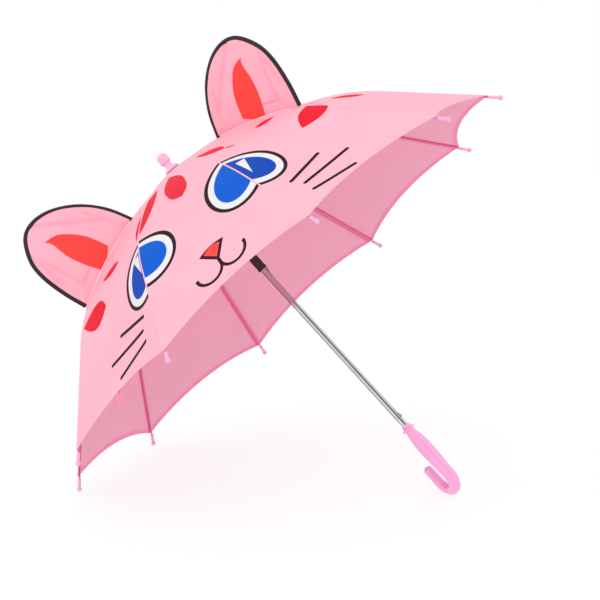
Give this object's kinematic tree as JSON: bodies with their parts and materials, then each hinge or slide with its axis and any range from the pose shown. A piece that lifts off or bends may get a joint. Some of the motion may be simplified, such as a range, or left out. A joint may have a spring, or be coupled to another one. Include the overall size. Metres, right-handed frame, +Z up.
{
  "type": "children's umbrella",
  "caption": "Open children's umbrella with a cat's face and ears: ribbed fabric canopy on a folding steel frame, straight shaft and hook handle, lying on its rim and hook.",
  "frame": {"origin": "middle of the bounding box, on the floor that the open umbrella lies on", "axes": "+Z up from the floor; +Y across the canopy, its longest side; +X from the canopy towards the handle, so the shaft falls from -X high to +X low"},
  "size_m": [0.5298, 0.7464, 0.5861],
  "materials": {
    "canopy_cloth": "woven polyester, pale pink",
    "ear_cloth": "woven polyester, pale pink with black piping",
    "strap_cloth": "woven tape, hot pink",
    "bright_steel": "polished plated steel tube",
    "rib_steel": "plated spring wire",
    "spring_steel": "plated spring steel",
    "pink_plastic": "moulded pink plastic",
    "pale_plastic": "moulded pale pink plastic",
    "black_plastic": "moulded black plastic"
  },
  "bodies": {
    "shaft": {"shaft": "bright_steel", "crown_notch": "black_plastic", "ferrule": "pink_plastic", "handle": "pink_plastic"},
    "runner": {"runner": "black_plastic"},
    "upper_catch": {"upper_catch": "spring_steel"},
    "lower_catch": {"lower_catch": "spring_steel"},
    "upper_rib_01": {"upper_rib_01": "rib_steel", "canopy_gore_01": "canopy_cloth"},
    "lower_rib_01": {"lower_rib_01": "rib_steel", "rib_tip_01": "pale_plastic"},
    "stretcher_01": {"stretcher_01": "rib_steel"},
    "upper_rib_02": {"upper_rib_02": "rib_steel", "canopy_gore_02": "canopy_cloth", "ear_right": "ear_cloth"},
    "lower_rib_02": {"lower_rib_02": "rib_steel", "rib_tip_02": "pale_plastic"},
    "stretcher_02": {"stretcher_02": "rib_steel"},
    "upper_rib_03": {"upper_rib_03": "rib_steel", "canopy_gore_03": "canopy_cloth"},
    "lower_rib_03": {"lower_rib_03": "rib_steel", "rib_tip_03": "pale_plastic"},
    "stretcher_03": {"stretcher_03": "rib_steel"},
    "upper_rib_04": {"upper_rib_04": "rib_steel", "canopy_gore_04": "canopy_cloth"},
    "lower_rib_04": {"lower_rib_04": "rib_steel", "rib_tip_04": "pale_plastic"},
    "stretcher_04": {"stretcher_04": "rib_steel"},
    "upper_rib_05": {"upper_rib_05": "rib_steel", "canopy_gore_05": "canopy_cloth"},
    "lower_rib_05": {"lower_rib_05": "rib_steel", "rib_tip_05": "pale_plastic"},
    "stretcher_05": {"stretcher_05": "rib_steel"},
    "upper_rib_06": {"upper_rib_06": "rib_steel", "canopy_gore_06": "canopy_cloth"},
    "lower_rib_06": {"lower_rib_06": "rib_steel", "rib_tip_06": "pale_plastic"},
    "stretcher_06": {"stretcher_06": "rib_steel"},
    "upper_rib_07": {"upper_rib_07": "rib_steel", "canopy_gore_07": "canopy_cloth"},
    "lower_rib_07": {"lower_rib_07": "rib_steel", "rib_tip_07": "pale_plastic"},
    "stretcher_07": {"stretcher_07": "rib_steel"},
    "upper_rib_08": {"upper_rib_08": "rib_steel", "canopy_gore_08": "canopy_cloth"},
    "lower_rib_08": {"lower_rib_08": "rib_steel", "rib_tip_08": "pale_plastic"},
    "stretcher_08": {"stretcher_08": "rib_steel"},
    "upper_rib_09": {"upper_rib_09": "rib_steel", "canopy_gore_09": "canopy_cloth", "ear_left": "ear_cloth"},
    "lower_rib_09": {"lower_rib_09": "rib_steel", "rib_tip_09": "pale_plastic"},
    "stretcher_09": {"stretcher_09": "rib_steel"},
    "upper_rib_10": {"upper_rib_10": "rib_steel", "canopy_gore_10": "canopy_cloth"},
    "lower_rib_10": {"lower_rib_10": "rib_steel", "rib_tip_10": "pale_plastic", "closing_strap": "strap_cloth"},
    "stretcher_10": {"stretcher_10": "rib_steel"}
  },
  "joints": [
    {"name": "runner_slide", "type": "slide", "parent": "shaft", "child": "runner", "axis": [-0.7026, 0, 0.7116], "range_m": [-0.26656, 0], "deforming": ["canopy_gore_01", "canopy_gore_02", "canopy_gore_03", "canopy_gore_04", "canopy_gore_05", "canopy_gore_06", "canopy_gore_07", "canopy_gore_08", "canopy_gore_09", "canopy_gore_10", "ear_right", "ear_left", "closing_strap", "upper_catch", "lower_catch"]},
    {"name": "rib_hinge_01", "type": "hinge", "parent": "shaft", "child": "upper_rib_01", "pos_m": [-0.13672, -0.00728, 0.40791], "axis": [0.5757, 0.5878, 0.5684], "range_deg": [0, 69.1]},
    {"name": "rib_flex_01", "type": "hinge", "parent": "upper_rib_01", "child": "lower_rib_01", "pos_m": [-0.0223, -0.1535, 0.44323], "axis": [0.5757, 0.5878, 0.5684], "range_deg": [-21.32, 0]},
    {"name": "stretcher_hinge_01", "type": "hinge", "parent": "upper_rib_01", "child": "stretcher_01", "pos_m": [-0.0223, -0.1535, 0.44323], "axis": [0.5757, 0.5878, 0.5684], "range_deg": [-138.1, 0]},
    {"name": "rib_hinge_02", "type": "hinge", "parent": "shaft", "child": "upper_rib_02", "pos_m": [-0.1344, -0.00278, 0.4102], "axis": [0.2199, 0.9511, 0.2171], "range_deg": [0, 69.1]},
    {"name": "rib_flex_02", "type": "hinge", "parent": "upper_rib_02", "child": "lower_rib_02", "pos_m": [0.02675, -0.05863, 0.49166], "axis": [0.2199, 0.9511, 0.2171], "range_deg": [-21.32, 0]},
    {"name": "stretcher_hinge_02", "type": "hinge", "parent": "upper_rib_02", "child": "stretcher_02", "pos_m": [0.02675, -0.05863, 0.49166], "axis": [0.2199, 0.9511, 0.2171], "range_deg": [-138.1, 0]},
    {"name": "rib_hinge_03", "type": "hinge", "parent": "shaft", "child": "upper_rib_03", "pos_m": [-0.1344, 0.00278, 0.4102], "axis": [-0.2199, 0.9511, -0.2171], "range_deg": [0, 69.1]},
    {"name": "rib_flex_03", "type": "hinge", "parent": "upper_rib_03", "child": "lower_rib_03", "pos_m": [0.02675, 0.05863, 0.49166], "axis": [-0.2199, 0.9511, -0.2171], "range_deg": [-21.32, 0]},
    {"name": "stretcher_hinge_03", "type": "hinge", "parent": "upper_rib_03", "child": "stretcher_03", "pos_m": [0.02675, 0.05863, 0.49166], "axis": [-0.2199, 0.9511, -0.2171], "range_deg": [-138.1, 0]},
    {"name": "rib_hinge_04", "type": "hinge", "parent": "shaft", "child": "upper_rib_04", "pos_m": [-0.13672, 0.00728, 0.40791], "axis": [-0.5757, 0.5878, -0.5684], "range_deg": [0, 69.1]},
    {"name": "rib_flex_04", "type": "hinge", "parent": "upper_rib_04", "child": "lower_rib_04", "pos_m": [-0.0223, 0.1535, 0.44323], "axis": [-0.5757, 0.5878, -0.5684], "range_deg": [-21.32, 0]},
    {"name": "stretcher_hinge_04", "type": "hinge", "parent": "upper_rib_04", "child": "stretcher_04", "pos_m": [-0.0223, 0.1535, 0.44323], "axis": [-0.5757, 0.5878, -0.5684], "range_deg": [-138.1, 0]},
    {"name": "rib_hinge_05", "type": "hinge", "parent": "shaft", "child": "upper_rib_05", "pos_m": [-0.14049, 0.009, 0.40419], "axis": [-0.7116, 0, -0.7026], "range_deg": [0, 69.1]},
    {"name": "rib_flex_05", "type": "hinge", "parent": "upper_rib_05", "child": "lower_rib_05", "pos_m": [-0.10166, 0.18974, 0.36487], "axis": [-0.7116, 0, -0.7026], "range_deg": [-21.32, 0]},
    {"name": "stretcher_hinge_05", "type": "hinge", "parent": "upper_rib_05", "child": "stretcher_05", "pos_m": [-0.10166, 0.18974, 0.36487], "axis": [-0.7116, 0, -0.7026], "range_deg": [-138.1, 0]},
    {"name": "rib_hinge_06", "type": "hinge", "parent": "shaft", "child": "upper_rib_06", "pos_m": [-0.14425, 0.00728, 0.40047], "axis": [-0.5757, -0.5878, -0.5684], "range_deg": [0, 69.1]},
    {"name": "rib_flex_06", "type": "hinge", "parent": "upper_rib_06", "child": "lower_rib_06", "pos_m": [-0.18102, 0.1535, 0.28651], "axis": [-0.5757, -0.5878, -0.5684], "range_deg": [-21.32, 0]},
    {"name": "stretcher_hinge_06", "type": "hinge", "parent": "upper_rib_06", "child": "stretcher_06", "pos_m": [-0.18102, 0.1535, 0.28651], "axis": [-0.5757, -0.5878, -0.5684], "range_deg": [-138.1, 0]},
    {"name": "rib_hinge_07", "type": "hinge", "parent": "shaft", "child": "upper_rib_07", "pos_m": [-0.14658, 0.00278, 0.39818], "axis": [-0.2199, -0.9511, -0.2171], "range_deg": [0, 69.1]},
    {"name": "rib_flex_07", "type": "hinge", "parent": "upper_rib_07", "child": "lower_rib_07", "pos_m": [-0.23007, 0.05863, 0.23808], "axis": [-0.2199, -0.9511, -0.2171], "range_deg": [-21.32, 0]},
    {"name": "stretcher_hinge_07", "type": "hinge", "parent": "upper_rib_07", "child": "stretcher_07", "pos_m": [-0.23007, 0.05863, 0.23808], "axis": [-0.2199, -0.9511, -0.2171], "range_deg": [-138.1, 0]},
    {"name": "rib_hinge_08", "type": "hinge", "parent": "shaft", "child": "upper_rib_08", "pos_m": [-0.14658, -0.00278, 0.39818], "axis": [0.2199, -0.9511, 0.2171], "range_deg": [0, 69.1]},
    {"name": "rib_flex_08", "type": "hinge", "parent": "upper_rib_08", "child": "lower_rib_08", "pos_m": [-0.23007, -0.05863, 0.23808], "axis": [0.2199, -0.9511, 0.2171], "range_deg": [-21.32, 0]},
    {"name": "stretcher_hinge_08", "type": "hinge", "parent": "upper_rib_08", "child": "stretcher_08", "pos_m": [-0.23007, -0.05863, 0.23808], "axis": [0.2199, -0.9511, 0.2171], "range_deg": [-138.1, 0]},
    {"name": "rib_hinge_09", "type": "hinge", "parent": "shaft", "child": "upper_rib_09", "pos_m": [-0.14425, -0.00728, 0.40047], "axis": [0.5757, -0.5878, 0.5684], "range_deg": [0, 69.1]},
    {"name": "rib_flex_09", "type": "hinge", "parent": "upper_rib_09", "child": "lower_rib_09", "pos_m": [-0.18102, -0.1535, 0.28651], "axis": [0.5757, -0.5878, 0.5684], "range_deg": [-21.32, 0]},
    {"name": "stretcher_hinge_09", "type": "hinge", "parent": "upper_rib_09", "child": "stretcher_09", "pos_m": [-0.18102, -0.1535, 0.28651], "axis": [0.5757, -0.5878, 0.5684], "range_deg": [-138.1, 0]},
    {"name": "rib_hinge_10", "type": "hinge", "parent": "shaft", "child": "upper_rib_10", "pos_m": [-0.14049, -0.009, 0.40419], "axis": [0.7116, 0, 0.7026], "range_deg": [0, 69.1]},
    {"name": "rib_flex_10", "type": "hinge", "parent": "upper_rib_10", "child": "lower_rib_10", "pos_m": [-0.10166, -0.18974, 0.36487], "axis": [0.7116, 0, 0.7026], "range_deg": [-21.32, 0]},
    {"name": "stretcher_hinge_10", "type": "hinge", "parent": "upper_rib_10", "child": "stretcher_10", "pos_m": [-0.10166, -0.18974, 0.36487], "axis": [0.7116, 0, 0.7026], "range_deg": [-138.1, 0]},
    {"name": "upper_catch_press", "type": "slide", "parent": "shaft", "child": "upper_catch", "axis": [-0.7116, 0, -0.7026], "range_m": [0, 0.0022], "stiffness_N_per_m": 800, "springref_m": -0.0005},
    {"name": "lower_catch_press", "type": "slide", "parent": "shaft", "child": "lower_catch", "axis": [-0.7116, 0, -0.7026], "range_m": [0, 0.0022], "stiffness_N_per_m": 800, "springref_m": -0.0005}
  ],
  "couplings": [
    {"joint": "rib_hinge_01", "follows": "runner_slide", "rad_per_m": -4.5178},
    {"joint": "rib_flex_01", "follows": "runner_slide", "rad_per_m": 1.3897},
    {"joint": "stretcher_hinge_01", "follows": "runner_slide", "rad_per_m": 9.0356},
    {"joint": "rib_hinge_02", "follows": "runner_slide", "rad_per_m": -4.5178},
    {"joint": "rib_flex_02", "follows": "runner_slide", "rad_per_m": 1.3897},
    {"joint": "stretcher_hinge_02", "follows": "runner_slide", "rad_per_m": 9.0356},
    {"joint": "rib_hinge_03", "follows": "runner_slide", "rad_per_m": -4.5178},
    {"joint": "rib_flex_03", "follows": "runner_slide", "rad_per_m": 1.3897},
    {"joint": "stretcher_hinge_03", "follows": "runner_slide", "rad_per_m": 9.0356},
    {"joint": "rib_hinge_04", "follows": "runner_slide", "rad_per_m": -4.5178},
    {"joint": "rib_flex_04", "follows": "runner_slide", "rad_per_m": 1.3897},
    {"joint": "stretcher_hinge_04", "follows": "runner_slide", "rad_per_m": 9.0356},
    {"joint": "rib_hinge_05", "follows": "runner_slide", "rad_per_m": -4.5178},
    {"joint": "rib_flex_05", "follows": "runner_slide", "rad_per_m": 1.3897},
    {"joint": "stretcher_hinge_05", "follows": "runner_slide", "rad_per_m": 9.0356},
    {"joint": "rib_hinge_06", "follows": "runner_slide", "rad_per_m": -4.5178},
    {"joint": "rib_flex_06", "follows": "runner_slide", "rad_per_m": 1.3897},
    {"joint": "stretcher_hinge_06", "follows": "runner_slide", "rad_per_m": 9.0356},
    {"joint": "rib_hinge_07", "follows": "runner_slide", "rad_per_m": -4.5178},
    {"joint": "rib_flex_07", "follows": "runner_slide", "rad_per_m": 1.3897},
    {"joint": "stretcher_hinge_07", "follows": "runner_slide", "rad_per_m": 9.0356},
    {"joint": "rib_hinge_08", "follows": "runner_slide", "rad_per_m": -4.5178},
    {"joint": "rib_flex_08", "follows": "runner_slide", "rad_per_m": 1.3897},
    {"joint": "stretcher_hinge_08", "follows": "runner_slide", "rad_per_m": 9.0356},
    {"joint": "rib_hinge_09", "follows": "runner_slide", "rad_per_m": -4.5178},
    {"joint": "rib_flex_09", "follows": "runner_slide", "rad_per_m": 1.3897},
    {"joint": "stretcher_hinge_09", "follows": "runner_slide", "rad_per_m": 9.0356},
    {"joint": "rib_hinge_10", "follows": "runner_slide", "rad_per_m": -4.5178},
    {"joint": "rib_flex_10", "follows": "runner_slide", "rad_per_m": 1.3897},
    {"joint": "stretcher_hinge_10", "follows": "runner_slide", "rad_per_m": 9.0356}
  ]
}
